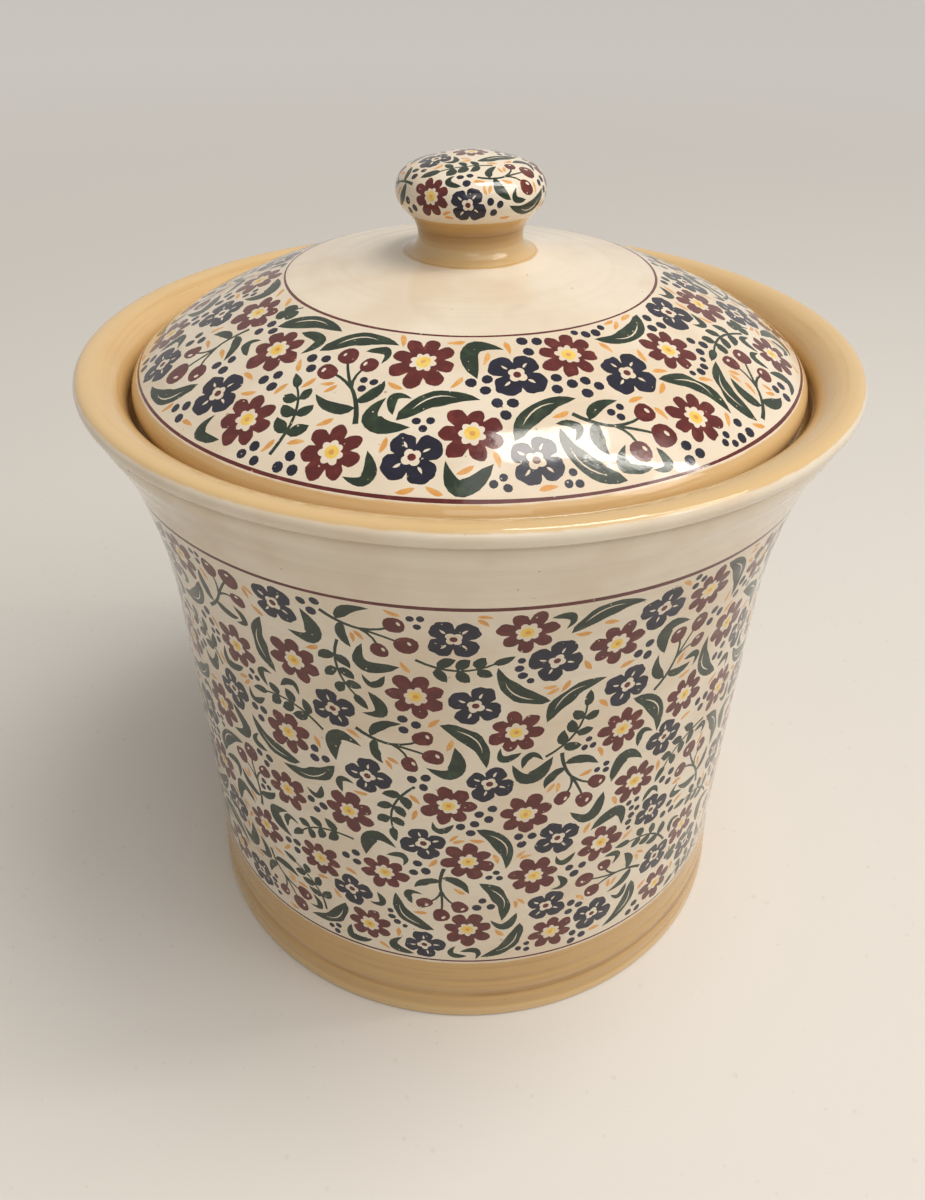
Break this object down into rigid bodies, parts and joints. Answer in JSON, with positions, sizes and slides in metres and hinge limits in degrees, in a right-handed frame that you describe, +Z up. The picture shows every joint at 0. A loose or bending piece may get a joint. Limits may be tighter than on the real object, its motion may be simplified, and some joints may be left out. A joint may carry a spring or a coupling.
{
  "type": "biscuit jar",
  "caption": "Round glazed stoneware jar with a flared, beaded mouth and a lift-off domed lid with a mushroom knob, for keeping biscuits or dry food.",
  "frame": {"origin": "centre of the foot ring, on the surface that the jar stands on", "axes": "+Z up along the axis that the jar is turned about; X and Y are free, because the shape is round"},
  "size_m": [0.26, 0.26, 0.288],
  "materials": {
    "slip_glaze": "glossy clear glaze over cream slip with printed flowers",
    "honey_glaze": "glossy clear glaze over honey-coloured clay"
  },
  "bodies": {
    "jar": {"jar_body": "slip_glaze"},
    "cover": {"lid": "slip_glaze", "lid_knob": "honey_glaze"}
  },
  "joints": [
    {"name": "lid_lift", "type": "slide", "parent": "jar", "child": "cover", "axis": [0, 0, 1], "range_m": [0, 0.15]}
  ]
}
